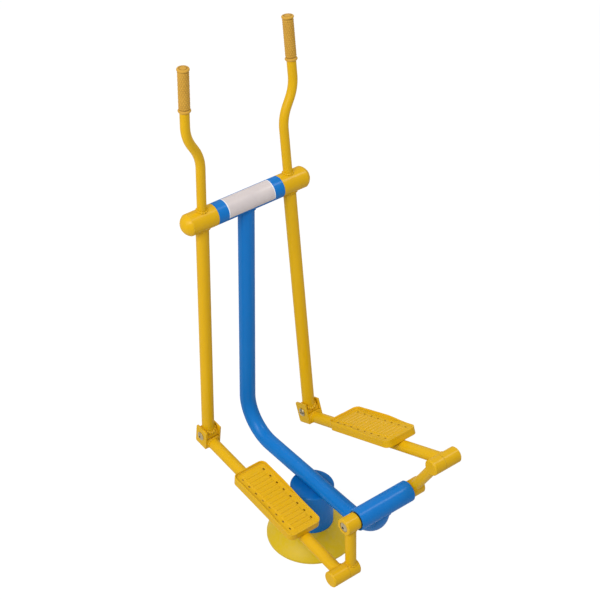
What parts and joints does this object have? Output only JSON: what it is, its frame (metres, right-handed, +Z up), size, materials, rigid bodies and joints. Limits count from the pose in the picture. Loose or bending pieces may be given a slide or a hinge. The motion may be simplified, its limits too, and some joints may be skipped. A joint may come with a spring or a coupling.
{
  "type": "outdoor cross trainer",
  "caption": "Outdoor cross trainer: bent tube frame on a ground-anchored column, swinging hand levers hinged to pedal beams that ride on a rear crankset.",
  "frame": {"origin": "middle of the ground plate's anchor circle, at ground level", "axes": "+X to the user's right, +Y the way the user faces, +Z up"},
  "size_m": [0.519, 0.9703, 1.822],
  "materials": {
    "blue_paint": "glossy powder coat",
    "yellow_paint": "glossy powder coat",
    "cover_plastic": "moulded, satin",
    "grip_rubber": "fine knurl",
    "pale_label": "bare printed film without lettering",
    "zinc_steel": "zinc plated",
    "bare_steel": "ground",
    "bush_brass": "turned"
  },
  "bodies": {
    "frame": {"main_tube": "blue_paint", "crossbar": "blue_paint", "crossbar_label": "pale_label", "crossbar_plugs": "bare_steel", "top_shaft": "bare_steel", "shaft_end_screws": "zinc_steel", "rear_housing": "blue_paint", "rear_bearings": "bare_steel", "post": "blue_paint", "post_cap": "blue_paint", "base_flange": "blue_paint", "base_ribs": "blue_paint", "base_cover": "cover_plastic"},
    "crankset": {"crank_axle": "bare_steel", "hub_bolts": "zinc_steel", "hub_washers": "zinc_steel", "left_crank_hub": "yellow_paint", "left_crank_arm": "yellow_paint", "left_crank_socket": "yellow_paint", "right_crank_hub": "yellow_paint", "right_crank_arm": "yellow_paint", "right_crank_socket": "yellow_paint"},
    "left_arm": {"left_sleeve": "yellow_paint", "left_sleeve_cap": "yellow_paint", "left_sleeve_bushes": "bush_brass", "left_handle": "yellow_paint", "left_grip": "grip_rubber", "left_arm_tube": "yellow_paint", "left_beam_eye": "yellow_paint", "left_eye_bushes": "bush_brass"},
    "left_beam": {"left_beam_tube": "yellow_paint", "left_hinge_bracket": "yellow_paint", "left_hinge_bolt": "zinc_steel", "left_hinge_nut": "zinc_steel", "left_pedal": "yellow_paint", "left_pedal_saddles": "yellow_paint", "left_pin_sleeve": "yellow_paint", "left_pin_sleeve_cap": "yellow_paint", "left_crank_pin": "bare_steel", "left_pin_bearings": "bare_steel"},
    "right_arm": {"right_sleeve": "yellow_paint", "right_sleeve_cap": "yellow_paint", "right_sleeve_bushes": "bush_brass", "right_handle": "yellow_paint", "right_grip": "grip_rubber", "right_arm_tube": "yellow_paint", "right_beam_eye": "yellow_paint", "right_eye_bushes": "bush_brass"},
    "right_beam": {"right_beam_tube": "yellow_paint", "right_hinge_bracket": "yellow_paint", "right_hinge_bolt": "zinc_steel", "right_hinge_nut": "zinc_steel", "right_pedal": "yellow_paint", "right_pedal_saddles": "yellow_paint", "right_pin_sleeve": "yellow_paint", "right_pin_sleeve_cap": "yellow_paint", "right_crank_pin": "bare_steel", "right_pin_bearings": "bare_steel"}
  },
  "joints": [
    {"name": "crank_turn", "type": "hinge", "parent": "frame", "child": "crankset", "pos_m": [0, -0.365, 0.416], "axis": [1, 0, 0], "range_deg": [-50, 0]},
    {"name": "left_arm_swing", "type": "hinge", "parent": "frame", "child": "left_arm", "pos_m": [-0.1795, 0.375, 1.243], "axis": [1, 0, 0], "range_deg": [-8.99, 0]},
    {"name": "left_beam_pivot", "type": "hinge", "parent": "left_arm", "child": "left_beam", "pos_m": [-0.1795, 0.37227, 0.317], "axis": [1, 0, 0], "range_deg": [0, 3.8]},
    {"name": "right_arm_swing", "type": "hinge", "parent": "frame", "child": "right_arm", "pos_m": [0.1795, 0.375, 1.243], "axis": [1, 0, 0], "range_deg": [0, 10.03]},
    {"name": "right_beam_pivot", "type": "hinge", "parent": "right_arm", "child": "right_beam", "pos_m": [0.1795, 0.24237, 0.32655], "axis": [1, 0, 0], "range_deg": [-11.82, 0]}
  ],
  "couplings": [
    {"joint": "left_arm_swing", "follows": "crank_turn", "ratio": 0.17979},
    {"joint": "left_beam_pivot", "follows": "crank_turn", "ratio": -0.075912},
    {"joint": "right_arm_swing", "follows": "crank_turn", "ratio": -0.20059},
    {"joint": "right_beam_pivot", "follows": "crank_turn", "ratio": 0.23633}
  ]
}
